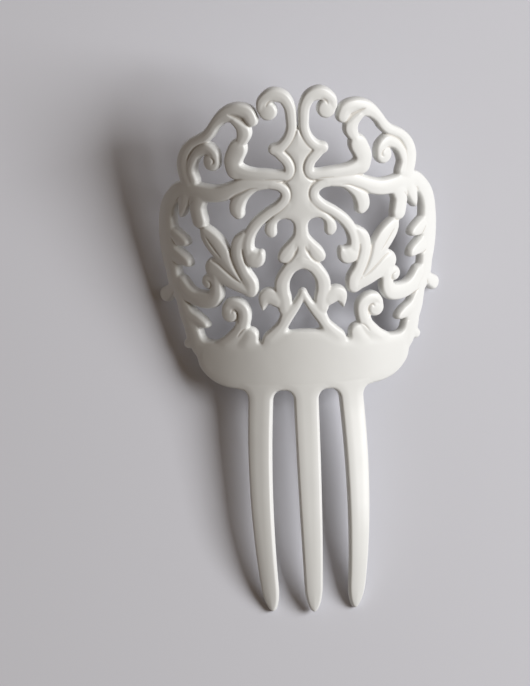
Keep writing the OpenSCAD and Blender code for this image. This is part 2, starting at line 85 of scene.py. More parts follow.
# Pieces of the crest's right half: lines of stations (across, along, half width); one station is a round boss
CREST = {
    "crown_curl": [
        [(9, 70.3, 1.2), (8.5, 72, 1.45), (6.1, 73.5, 1.75), (3.4, 72.9, 1.6), (1.9, 70.5, 1.45),
         (1.55, 67.5, 1.35), (1.6, 65, 1.3), (2.6, 62.5, 1.3), (4.4, 60.6, 1.35), (6.2, 60, 1.35)],
        [(7.35, 69.55, 2.35)]],
    "waist_scroll": [
        [(5.6, 59.7, 1.2), (4.4, 58.6, 1.4), (2.95, 57, 1.4), (2.35, 55.2, 1.4), (2.9, 53.8, 1.4),
         (4.9, 53.4, 1.35), (8, 53.5, 1.5), (11, 53.6, 1.5), (13.6, 53.9, 1.7), (16.2, 54.6, 2.1)]],
    "shoulder_scroll": [
        [(11.6, 67.3, 1.75), (12.5, 69, 1.8), (14.8, 69.5, 1.8), (17.2, 68.6, 2.1), (19.3, 67.5, 1.7),
         (21.2, 65.6, 1.4), (22.7, 63.5, 1.4), (24.2, 62.1, 1.4), (26, 61.1, 1.35), (28.1, 59.8, 1.4),
         (30.1, 57.5, 1.65), (31, 54.8, 1.9), (30.7, 52.4, 2), (29.6, 50, 2.1)]],
    "shoulder_leaf": [
        [(15.6, 67.2, 1.6), (14.2, 65.8, 1.75), (13.55, 64, 1.85), (14.1, 62.3, 1.5), (14.7, 61.3, 1.35),
         (15.3, 60, 2.3), (16, 58.6, 2.35), (16.6, 57.2, 2.3), (16.7, 56, 2.25), (16.2, 54.4, 2.1)]],
    "shoulder_volute": [
        [(21.6, 56.3, 1.35), (21.6, 57.8, 1.4), (22.6, 58.9, 1.45), (24.2, 59.2, 1.6), (26.6, 57.7, 1.35),
         (28.1, 55.4, 1.25), (28.7, 53, 1.25), (28.1, 50.8, 1.5)],
        [(22.5, 56, 2.25)]],
    "side_arm": [
        [(7, 51.6, 1.3), (10.5, 51.7, 1.55), (14, 50.9, 1.9), (17.5, 49.4, 2), (21, 48.2, 2.05),
         (24.5, 47.95, 2.15), (28, 48, 2.25), (31, 47.9, 2.1)]],
    "arm_lobe": [[(26.9, 46.4, 2.4), (27.3, 44.4, 2.1), (27, 42.4, 2.05), (26.6, 40.9, 2.05)]],
    "rail_spur": [
        [(30.3, 47.2, 1.8), (31.1, 45, 1.75), (31.6, 43.3, 1.35), (32, 42, 0.8), (32.15, 41.3, 0.4)]],
    "drop": [
        [(8.5, 51, 0.85), (11.5, 50.4, 1.1), (14.3, 48.6, 1.6), (15.8, 46.4, 1.9), (16.1, 44.7, 1.85),
         (15.7, 43.8, 1.45)]],
    "lyre_arm": [
        [(7, 51.4, 1.2), (4.95, 50.8, 1.25), (3.6, 49.5, 1.35), (3.7, 47.7, 1.35), (5.4, 45.8, 1.3),
         (8.2, 44, 1.3), (10.9, 41.7, 1.4), (12.8, 39, 1.45), (13.6, 36.4, 1.5), (13.4, 34.3, 1.5)],
        [(12.2, 32.75, 2.3)],
        [(11.3, 32.5, 1.9), (10.6, 33.3, 1.35), (10.15, 34.1, 0.8)]],
    "upper_leaflet": [
        [(2.6, 46.2, 1.3), (3.9, 44.5, 1.2), (5.4, 43.4, 1), (6.7, 42.3, 1.05), (7.4, 41.1, 1.35),
         (7.6, 39.9, 1.5), (7.4, 39.3, 1.3)]],
    "lower_leaflet": [[(1.7, 37, 1), (2.7, 35.5, 1.5), (3.8, 34, 1.75), (4.6, 33.05, 1.45)]],
    "leaf_stalk": [
        [(14.4, 38.7, 0.9), (15.8, 36.6, 1.75), (16.2, 34.2, 1.75), (15.7, 31.6, 1.65), (14.6, 28.9, 1.65),
         (13.2, 26.6, 1.8), (13.1, 24.8, 1.85)]],
    "long_leaf": [
        [(15.6, 26.9, 0.7), (18, 30.2, 1.6), (20.4, 33.4, 2.4), (22.3, 35.6, 2.6), (24, 37.3, 2.2),
         (25.1, 38.7, 1.35)]],
    "fan_leaf": [
        [(14.2, 24.8, 1.3), (16.6, 26, 1.75), (19.2, 27.6, 2.35), (21.4, 28.9, 2.75), (22.5, 29.5, 2.75)]],
    "lower_arm": [
        [(22.4, 27.4, 1.8), (22.3, 25, 1.7), (22.5, 23, 1.9), (23.6, 21.6, 2.1), (26, 21.15, 2.15),
         (28.6, 21.3, 2.05), (31, 22.3, 2.05), (33, 24.2, 2)],
        [(22.6, 26.3, 1.6), (24.4, 26, 1.9)]],
    "outer_rail": [
        [(30.4, 48.6, 1.8), (32.7, 47.6, 2.1), (35, 45.5, 2.15), (36.6, 43.2, 2.3), (37.4, 40.5, 2.45),
         (37.5, 38, 2.65), (37.3, 35, 2.85), (36.8, 32, 2.95), (36.4, 29.3, 2.6), (35.9, 27, 2.2),
         (35.4, 25, 2.2), (34.7, 23.2, 2.2), (33.6, 21.6, 2.1)],
        [(34.8, 35.6, 2.2), (33, 35.2, 1.75), (31.6, 34.9, 1.25), (30.8, 34.7, 0.65)],
        [(34.4, 30.9, 2.2), (32.6, 30.5, 1.75), (31.1, 30, 1.35), (30.3, 29.5, 0.75)]],
    "bead": [[(35.6, 22.4, 1.7), (37.6, 21.1, 1.7)], [(38.8, 20.3, 1.85)]],
    "skirt_leaf": [
        [(33.2, 21.6, 1.8), (32.5, 19.4, 1.95), (31.4, 16.8, 2.3), (30.2, 14.2, 2.3), (29.4, 11.8, 2.4),
         (28.2, 9, 2)],
        [(30.2, 16.2, 2), (28, 15.7, 1.6), (26.3, 15.1, 1.15), (25.5, 14.8, 0.65)],
        [(29.6, 10.6, 1.5), (31.2, 9.4, 1.3)]],
    "band_volute": [
        [(19.6, 19.9, 1.3), (18.6, 20.9, 1.5), (16.8, 20.9, 1.6), (15.3, 19.8, 1.65), (15.05, 18, 1.6),
         (15.6, 16.2, 1.75), (16.2, 14.4, 1.9), (17.8, 12.6, 1.9), (20, 10.8, 1.7)],
        [(18.85, 18.5, 2.2)]],
    "band_bud": [[(14.6, 11.2, 2.2), (13.6, 13.3, 2.05)]],
    "ogee_hook": [
        [(6.4, 22.4, 1.8), (7.2, 22.9, 1.9), (8.2, 23.4, 2.05), (9.3, 23.1, 1.85), (9.9, 21.7, 1.1),
         (10.05, 20.7, 0.6), (10.15, 20.1, 0.3)]],
    "ogee_loop": [
        [(0, 31.9, 1.5), (2.6, 30.8, 1.65), (3.85, 29.4, 1.65), (4.8, 27.8, 1.75), (5.2, 26.2, 1.85),
         (5.05, 24.4, 1.75), (4.75, 22.6, 1.9), (4.55, 20.4, 1.8)]],
    "ogee_stem": [
        [(0, 36, 0.95), (0, 35, 1.15), (0, 33.8, 1.7), (0, 32.7, 2.1)],
        [(0.6, 33.6, 1.2), (2, 32.8, 1.1), (3.6, 31.9, 0.7)]],
    "gable": [
        [(0, 24.1, 0.9), (1.6, 21.4, 1.1), (3, 19.95, 1.5), (4.2, 18.35, 1.6), (4.9, 17, 1.45),
         (5.7, 15.75, 1.4), (7, 14.2, 1.65), (8.4, 12.7, 1.9)]],
}
# Rise of the band's upper edge under the gable, as rows (along, half width)
RISE_ROWS = [(12.2, 9.6), (12.7, 8.4), (13.3, 7.2), (13.9, 5.9), (14.4, 4.4), (14.7, 2.6), (14.8, 0.9)]
# The plate between the scrolls, as rows (along, half width): it meets them in a groove, and where it lies
# between them, from BED_START up, a lower bed under both closes the groove
PANEL_ROWS = [
    (33.2, 1.2), (34.5, 1.6), (36, 2.4), (37, 2.9), (38, 2.3), (39, 1.85), (40.5, 1.7), (41.4, 1.85),
    (42, 2.2), (42.4, 2.7), (42.7, 3.6), (42.9, 6.9), (43.6, 6.7), (44.6, 5.5), (45.6, 4.4), (46.5, 3.5),
    (47.4, 2.85), (48.2, 2.5), (49, 2.4), (49.8, 2.5), (50.6, 2.75), (51.3, 3.1), (51.9, 3.6), (52.5, 2.75),
    (53.1, 2.1), (53.9, 1.6), (54.7, 1.25), (55.5, 1.15), (56.4, 1.25), (57.2, 1.55), (58, 2), (58.8, 2.6),
    (59.3, 3.1), (59.8, 3.75), (60.5, 3.15), (61.3, 2.55), (62.1, 1.95), (63, 1.35), (64, 0.8), (65.1, 0.4),
]
BED_START = 43.6
BED_REACH = 1.0
LOW_PIECES = ("centre_panel", "upper_leaflet", "lower_leaflet", "ogee_stem")

# Creases pressed into the front, as stations (across, along, half width); a wider crease is deeper
CREASES = [
    # spirals of the curls
    [(5.7, 72.3, 0.3), (6.6, 72.2, 0.4), (7.3, 71.6, 0.4), (7.6, 70.9, 0.2)],
    [(22.3, 57.4, 0.25), (21.7, 56.9, 0.45), (21.6, 56.2, 0.45), (22.1, 55.7, 0.2)],
    [(16.6, 16.6, 0.35), (16.6, 18, 0.5), (16.9, 19.2, 0.55), (17.7, 19.6, 0.5), (18.1, 19, 0.25)],
    [(24.5, 26.4, 0.25), (23.6, 25.9, 0.5), (23.5, 25, 0.55), (24.2, 24.3, 0.4)],
    # hood of the shoulder scroll over its leaf, and the volute beside the scroll
    [(17.2, 68.5, 0.3), (16.2, 68.3, 0.75), (14.9, 67.8, 1), (13.5, 66.9, 0.95), (12.2, 65.7, 0.7)],
    [(22.6, 61, 0.45), (24.5, 60.5, 0.45), (26.8, 59.2, 0.5), (28.4, 57.3, 0.45), (29.3, 55.7, 0.2)],
    # side arm under the waist scroll, the drop, the lobe and the spur under the arm
    [(3.9, 52.4, 0.4), (5.6, 52.7, 0.35), (8.5, 52.75, 0.15)],
    [(10.5, 50.6, 0.2), (12.5, 50.2, 0.4), (14.4, 49.3, 0.5), (16.2, 48.4, 0.55), (17.6, 47.4, 0.45)],
    [(30.1, 43, 0.4), (29.2, 44.3, 0.45), (27.9, 45.8, 0.2)],
    [(33, 45.2, 0.35), (32.3, 46.1, 0.2)],
    [(24.4, 39.9, 0.35), (25.4, 39.4, 0.45), (26.6, 39.1, 0.35)],
    # vein of the long leaf, and the leaf between its stalk and the fan
    [(24.4, 37.3, 0.2), (23.2, 35.8, 0.45), (21.8, 34.1, 0.45), (20.5, 32.6, 0.2)],
    [(23, 31.6, 0.5), (21.4, 30.9, 0.55), (19.3, 29.3, 0.55), (17.3, 27.8, 0.5), (15.6, 26.8, 0.3)],
    [(18.3, 34.3, 0.5), (17.8, 32.4, 0.55), (16.8, 30, 0.55), (15.3, 27.4, 0.3)],
    # stalk beside the lyre arm's end, and the leaflet beside the ogee's stem
    [(14.8, 35, 0.3), (14.7, 33.4, 0.45), (14.1, 31.6, 0.4)],
    [(0.95, 36, 0.15), (1.15, 35, 0.4), (1.95, 33.5, 0.5), (3, 32.3, 0.5), (4.2, 31.6, 0.4)],
    # barbs of the rail and the skirt, bead and bud
    [(33.4, 33.1, 0.35), (34.3, 34.2, 0.45), (35.3, 35.6, 0.2)],
    [(33.2, 28.6, 0.35), (34, 28.9, 0.45), (35, 29.6, 0.2)],
    [(29.4, 19, 0.45), (30.6, 19.7, 0.5), (31.9, 20.5, 0.2)],
    [(27.2, 13.3, 0.4), (28.4, 13.6, 0.2)],
    [(35.1, 22, 0.2), (35.6, 20.9, 0.45), (36.2, 20, 0.35)],
    [(13.5, 15.4, 0.2), (14.9, 15.1, 0.3), (15.8, 14.3, 0.35), (16.6, 13.2, 0.2)],
]


def add_node(tree, kind, links=None, **settings):
    """A node with its settings; links gives each input its value or the socket that feeds it."""
    made = tree.nodes.new(kind)
    for name, value in settings.items():
        setattr(made, name, value)
    for key, value in (links or {}).items():
        if isinstance(value, bpy.types.NodeSocket):
            tree.links.new(value, made.inputs[key])
        else:
            made.inputs[key].default_value = value
    return made


def new_object(name, mesh):
    obj = bpy.data.objects.new(name, mesh)
    bpy.context.scene.collection.objects.link(obj)
    return obj


def srgb(hex_colour):
    """Linear colour of an sRGB hex value."""
    parts = [int(hex_colour[i:i + 2], 16) / 255 for i in (1, 3, 5)]
    return [c / 12.92 if c <= 0.04045 else ((c + 0.055) / 1.055) ** 2.4 for c in parts] + [1.0]


# Depths: how far a flat point lies inside an outline, negative outside it. They are exact up to NEAR outside
# a line, which is taken in stretches of a few steps, and FAR beyond
LINE_STEP = 0.15
STRETCH = 16
NEAR = 2.0
FAR = -9.0
# Steps of the band's corners and shoulders, and of a tooth's root, body and tip
CORNER_STEPS, SHOULDER_STEPS = 25, 18
ROOT_STEPS, TOOTH_STEPS, TIP_STEPS = 18, 60, 30


def flowing(line):
    """Close points along the smooth line through stations, at the comb's own size, with their half widths."""
    s = np.array(line, float)
    s[:, 1] = real_height(s[:, 1])
    if len(s) == 1:
        return np.vstack([s, s + [0, 0.01, 0]])
    around = np.vstack([s[:1], s, s[-1:]])
    steps = []
    for a, b, c, d in zip(around, around[1:], around[2:], around[3:]):
        count = math.ceil(math.dist(b[:2], c[:2]) / LINE_STEP)
        t = np.arange(count)[:, None] / count
        steps.append(b + (c - a) * t / 2 + (2 * a - 5 * b + 4 * c - d) * t ** 2 / 2
                     + (3 * b - a - 3 * c + d) * t ** 3 / 2)
    return np.vstack(steps + [s[-1:]])


def depth_in(points, line):
    """Depth of points inside a line with half widths, and the half width beside each of them."""
    depth, width = np.full(len(points), FAR), np.ones(len(points))
    for first in range(0, len(line) - 1, STRETCH):
        stretch = line[first:first + STRETCH + 1]
        low = (stretch[:, :2] - stretch[:, 2:]).min(0) - NEAR
        high = (stretch[:, :2] + stretch[:, 2:]).max(0) + NEAR
        near = np.flatnonzero(((points > low) & (points < high)).all(1))
        start, step = stretch[:-1], np.diff(stretch, axis=0)
        across = points[near, None, 0] - start[:, 0]
        along = points[near, None, 1] - start[:, 1]
        length = np.maximum(step[:, 0] ** 2 + step[:, 1] ** 2, 1e-9)
        t = np.clip((across * step[:, 0] + along * step[:, 1]) / length, 0, 1)
        half = start[:, 2] + t * step[:, 2]
        inner = half - np.hypot(across - t * step[:, 0], along - t * step[:, 1])
        best = inner.argmax(1)
        rows = np.arange(len(near))
        deeper = inner[rows, best] > depth[near]
        near, rows, best = near[deeper], rows[deeper], best[deeper]
        depth[near] = inner[rows, best]
        width[near] = half[rows, best]
    return depth, width


def depth_in_plate(points, rows):
    """Depth of points inside a plate given by rows (along, middle, half width)."""
    rows = np.array(sorted(rows))
    along, middle, half = rows.T
    sides = np.vstack([np.stack([middle + half, along], 1), np.stack([middle - half, along], 1)[::-1]])
    outline = np.zeros((len(sides) + 1, 3))
    outline[:, :2] = np.vstack([sides, sides[:1]])
    gap = -depth_in(points, outline)[0]
    u, v = points.T
    within = np.abs(u - np.interp(v, along, middle)) < np.interp(v, along, half)
    return np.where(within & (v > along[0]) & (v < along[-1]), gap, -gap)


def real_height(along):
    """Height of the crest's drawing at the comb's own size."""
    return BAND_H + (along - DRAWN_BAND_H) * CREST_STRETCH


def band_rows():
    """The band from its lower edge to its rise under the gable, as rows (along, middle, half width)."""
    corner = np.radians(np.linspace(0, 90, CORNER_STEPS))
    shoulder = np.radians(np.linspace(4, BAND_SHOULDER_TURN, SHOULDER_STEPS))
    root = 1.5 * TOOTH_PITCH
    side = BAND_W / 2
    return ([(BAND_CORNER_H * (1 - math.cos(a)), 0, root + (side - root) * math.sin(a)) for a in corner]
            + [(BAND_H - BAND_SHOULDER_H * (1 - math.sin(a)), 0, side * math.cos(a)) for a in shoulder]
            + [(real_height(v), 0, half) for v, half in RISE_ROWS])


def tooth_rows(place):
    """A tooth from inside the band to its tip; its flared root rounds the tops of the slots beside it."""
    flare = [(ROOT_LAP, SLOT_R)] + [(-SLOT_R * (1 - math.sin(a)), SLOT_R * (1 - math.cos(a)))
                                    for a in np.radians(np.linspace(90, 5, ROOT_STEPS))]
    body = [(v, 0) for v in np.linspace(-SLOT_R, TIP_ROUND - TOOTH_LEN, TOOTH_STEPS)]
    tip = [(TIP_ROUND * (1 - math.sin(a)) - TOOTH_LEN, 0) for a in np.radians(np.linspace(4, 90, TIP_STEPS))]
    rows = []
    for v, wider in flare + body + tip:
        t = max(-v / TOOTH_LEN, 0)
        left = min(1, (TOOTH_LEN + v) / TIP_ROUND)
        half = (TOOTH_W - (TOOTH_W - TIP_W) * t ** 2) / 2 * math.sqrt(1 - (1 - left) ** 2)
        middle = place * (TOOTH_PITCH + TOOTH_BOW * 4 * t * (1 - t) - TOOTH_TOE * t ** 2)
        rows.append((v, middle, half + wider))
    return rows


# The relief: which piece a flat point belongs to, its depth inside the comb, and the height of the front.
# The moulding is a hair larger than its drawing all round, and has fillets in its inner corners, the widest
# along the band
FLASH = 0.1
FILLET = 0.6
BAND_FILLET = 2.0
# The groove between the scrolls and the lower plate: softness of its corners, and depth below the plate
GROOVE_SOFT = 0.25
GROOVE_H = 0.4
# Depth of a crease for its half width, and how steeply the front falls away outside an outline
CREASE_DEPTH = 0.45
OUTER_FALL = 8
# Lines that come this near the middle also meet their mirrored copies
CENTRE_W = 3.0
# The ogee's stem lies lower than the loop, and is part of its piece
PIECES = [piece for piece in CREST if piece != "ogee_stem"]
PIECES += ["band", "side_tooth", "middle_tooth", "centre_panel"]


def joined(one, other, soft=FILLET):
    """The larger of two depths, rounded where they are close, so that inner corners get a fillet."""
    near = np.maximum(soft - np.abs(one - other), 0)
    return np.maximum(one, other) + near ** 2 / (4 * soft)


def lines_of(piece):
    """A piece's lines, with mirrored copies of those that come near the comb's middle."""
    lines = [flowing(line) for line in CREST[piece]]
    return lines + [line * [-1, 1, 1] for line in lines if line[:, 0].min() < CENTRE_W]


LINES = [(piece, line) for piece in CREST for line in lines_of(piece)]
PLATES = [("band", band_rows()), ("side_tooth", tooth_rows(1)), ("middle_tooth", tooth_rows(0)),
          ("centre_panel", [(real_height(v), 0, half) for v, half in PANEL_ROWS])]
BED = [(real_height(v), 0, half + BED_REACH) for v, half in PANEL_ROWS if v >= BED_START]
CREASE_LINES = [flowing(line) for line in CREASES]


def levels_at(points):
    """Depths inside the body, its lower pieces and their bed, and the deepest piece of the first two."""
    depth, deepest = np.full((2, 3, len(points)), FAR)
    owner = np.zeros((2, len(points)), int)
    depths = [(piece, depth_in(points, line)[0]) for piece, line in LINES]
    depths += [(piece, depth_in_plate(points, rows)) for piece, rows in PLATES]
    for piece, own in depths:
        level = int(piece in LOW_PIECES)
        depth[level] = joined(depth[level], own, BAND_FILLET if piece == "band" else FILLET)
        owner[level][own > deepest[level]] = PIECES.index(piece.replace("stem", "loop"))
        deepest[level] = np.maximum(deepest[level], own)
    depth[2] = depth_in_plate(points, BED)
    return depth + FLASH, owner


def depth_at(points):
    """Depth of flat points inside the comb's outline."""
    (body, low, bed), _ = levels_at(points)
    return joined(joined(body, low), bed)


def edge_drop(depth):
    """How far the front lies below its full height, at a depth inside an outline."""
    return (EDGE_H * (1 - np.clip(depth / EDGE_W, 0, 1)) ** EDGE_POWER
            + SWELL_H * (1 - np.clip(depth / SWELL_W, 0, 1)) ** 2
            + OUTER_FALL * np.maximum(-depth, 0))


def relief_at(points):
    """Height of the front and index of the piece at flat points."""
    depth, owner = levels_at(points)
    body = np.interp(points[:, 1], [-TOOTH_LEN, 0], [TIP_T, FRONT_T]) - edge_drop(depth[0])
    low = PANEL_T - edge_drop(depth[1])
    bed = PANEL_T - GROOVE_H - edge_drop(depth[2])
    owner = np.where(low > body, owner[1], owner[0])
    height = np.maximum(joined(joined(body, low, GROOVE_SOFT), bed, GROOVE_SOFT), LEAST_T)
    for line in CREASE_LINES:
        inner, width = depth_in(points, line)
        share = np.clip(inner / width, 0, 1)
        height -= CREASE_DEPTH * width * share ** 2 * (3 - 2 * share)
    return height, owner


# The net: small squares over the flat comb, whose border lies a little inside the outline. Its columns count
# from the middle out, its rows from the root line of the teeth
NET = 0.2
EDGE_IN = 0.15
NET_COLUMNS = 204
NET_ROWS = (-286, 390)
# Turns in which the border smooths itself, and in which the rings of points next to it spread out
BORDER_TURNS = 4
SPREAD_RINGS = 3
SPREAD_TURNS = 6


def both_halves(right):
    """A grid over the right half, from the middle out, mirrored to the whole width."""
    return np.concatenate([right[:, :0:-1], right], 1)


def flat_points(points):
    """The same points in the right half."""
    return np.abs(points) * [1, 0] + points * [0, 1]


def net():
    """Points and squares of the net, the squares' sides, and the border: its sides, points and ways out."""
    u, v = np.meshgrid(np.arange(NET_COLUMNS + 1) * NET, np.arange(*NET_ROWS) * NET)
    depth = both_halves(depth_at(np.stack([u.ravel(), v.ravel()], 1)).reshape(u.shape))
    cells = (depth[:-1, :-1] + depth[1:, :-1] + depth[:-1, 1:] + depth[1:, 1:]) / 4 > EDGE_IN
    # two squares that touch only at a corner get a third beside them
    low, high = cells[:-1], cells[1:]
    touch = low[:, :-1] & high[:, 1:] & ~low[:, 1:] & ~high[:, :-1]
    cross = low[:, 1:] & high[:, :-1] & ~low[:, :-1] & ~high[:, 1:]
    low[:, 1:] |= touch
    low[:, :-1] |= cross
    wide = depth.shape[1]
    row, column = np.nonzero(cells)
    corner = row * wide + column
    used, squares = np.unique(np.stack([corner, corner + 1, corner + wide + 1, corner + wide], 1),
                              return_inverse=True)
    squares = squares.reshape(-1, 4)
    points = np.stack([(used % wide - NET_COLUMNS) * NET, (used // wide + NET_ROWS[0]) * NET], 1)
    sides = np.stack([squares, np.roll(squares, -1, 1)], 2).reshape(-1, 2)
    border = ~np.isin(sides @ [len(used), 1], sides @ [1, len(used)])
    after = np.zeros(len(used), int)
    after[sides[border, 0]] = sides[border, 1]
    before = np.zeros(len(used), int)
    before[sides[border, 1]] = sides[border, 0]
    rim = sides[border, 0]
    # the border moves onto its depth, and the points next to it spread evenly
    for turn in range(BORDER_TURNS + 1):
        here = points[rim]
        if turn < BORDER_TURNS:
            here = here / 2 + (points[after[rim]] + points[before[rim]]) / 4
        depth, out = way_out(here)
        points[rim] = here + out * (depth - EDGE_IN)[:, None]
    near = np.zeros(len(used), bool)
    near[rim] = True
    for _ in range(SPREAD_RINGS):
        near[sides[near[sides[:, 0]], 1]] = True
        near[sides[near[sides[:, 1]], 0]] = True
    near[rim] = False
    count = np.bincount(sides[:, 0], minlength=len(used))[:, None]
    for _ in range(SPREAD_TURNS):
        total = np.zeros_like(points)
        np.add.at(total, sides[:, 0], points[sides[:, 1]])
        points[near] = (points / 2 + total / count / 2)[near]
    return points, squares, sides, border, rim, way_out(points[rim])[1]


def way_out(points):
    """Depth of points, and the flat direction in which it falls fastest."""
    probe = 0.03
    depth = depth_at(flat_points(points))
    slope = np.stack([depth_at(flat_points(points + step)) - depth_at(flat_points(points - step))
                      for step in np.eye(2) * probe], 1)
    return depth, -slope / np.maximum(np.hypot(*slope.T), 1e-6)[:, None]


# The wall ends a little below the rounded edge, and takes up no more than a share of a low front. Rows lead
# from the front's border over the edge (way out, share of the height above the wall), and round the wall's
# foot (way out, height)
WALL_GAP = 0.1
WALL_H = FRONT_T - EDGE_H - WALL_GAP
WALL_SHARE = 0.6
EDGE_ROWS = [(0.09, 0.5), (0.14, 0.15), (0.15, 0)]
FOOT_ROWS = [(0.15, 0.5), (0.11, 0.2), (0.04, 0.04)]


def moulding():
    """The flat comb: points, owners of the net's points, its squares and sides, and chains round the edge."""
    points, squares, sides, border, rim, out = net()
    count = len(points)
    height, owner = relief_at(flat_points(points))
    wall = np.minimum(WALL_H, WALL_SHARE * height[rim])
    rows = [(way, wall + share * (height[rim] - wall)) for way, share in EDGE_ROWS]
    rows += [(way, np.full(len(rim), foot)) for way, foot in FOOT_ROWS]
    layers = [np.column_stack([points, height]), np.column_stack([points, np.zeros(count)])]
    layers += [np.column_stack([points[rim] + out * way, level]) for way, level in rows]
    place = np.zeros(count, int)
    place[rim] = np.arange(len(rim))
    # from each border point of the front, round the edge, to the same point of the back
    chain = np.stack([np.arange(count)] + [2 * count + len(rim) * k + place for k in range(len(rows))]
                     + [np.arange(count) + count], 1)
    return np.vstack(layers), owner, squares, sides, border, chain


def new_tree(name, sizes):
    """A Geometry Nodes tree with named inputs; returns the tree and its input sockets by name."""
    tree = bpy.data.node_groups.new(name, "GeometryNodeTree")
    tree.interface.new_socket("Geometry", in_out="INPUT", socket_type="NodeSocketGeometry")
    tree.interface.new_socket("Geometry", in_out="OUTPUT", socket_type="NodeSocketGeometry")
    for size, kind in sizes:
        tree.interface.new_socket(size, in_out="INPUT", socket_type=kind)
    return tree, add_node(tree, "NodeGroupInput").outputs


def run_tree(obj, tree, values):
    """Puts a tree on an object with its sizes set, and turns the result into the object's own plain mesh."""
    modifier = obj.modifiers.new(tree.name, "NODES")
    modifier.node_group = tree
    for item in tree.interface.items_tree:
        if item.in_out == "INPUT" and item.name in values:
            modifier[item.identifier] = values[item.name]
    plain = bpy.data.meshes.new_from_object(obj.evaluated_get(bpy.context.evaluated_depsgraph_get()))
    obj.modifiers.clear()
    obj.data = plain
    return obj


# The bend: the flat comb follows its side line lengthwise, and the head across. A crease is seen where the
# surface lies below its surroundings, taken over a few steps of the net
LINE_START, LINE_END = -60.0, 80.0
CREASE_STEPS = 6
CREASE_FULL = 0.05


def side_line():
    """The comb's middle line seen from the side, as points (0, y, z) every half millimetre."""
    v = np.arange(LINE_START, LINE_END, 0.5)
    heel = np.clip(v + HEEL_DROP, 0, HEEL_LEN) / HEEL_R
    toe = np.maximum(-SHANK_LEN - v, 0) / TIP_CURVE_R
    shank = np.clip(v, -SHANK_LEN, -HEEL_DROP) + HEEL_DROP
    crest = np.maximum(v + HEEL_DROP - HEEL_LEN, 0)
    low = TOOTH_SLOPE
    y = (HEEL_R * (np.sin(low + heel) - math.sin(low)) + crest * math.cos(CREST_LEAN)
         + shank * math.cos(low) - TIP_CURVE_R * (np.sin(low + toe) - math.sin(low)))
    z = (HEEL_R * (math.cos(low) - np.cos(low + heel)) + crest * math.sin(CREST_LEAN)
         + shank * math.sin(low) - TIP_CURVE_R * (math.cos(low) - np.cos(low + toe)))
    mesh = bpy.data.meshes.new("side_line")
    mesh.from_pydata(np.stack([0 * v, y, z], 1), [(i, i + 1) for i in range(len(v) - 1)], [])
    return new_object("side_line", mesh)


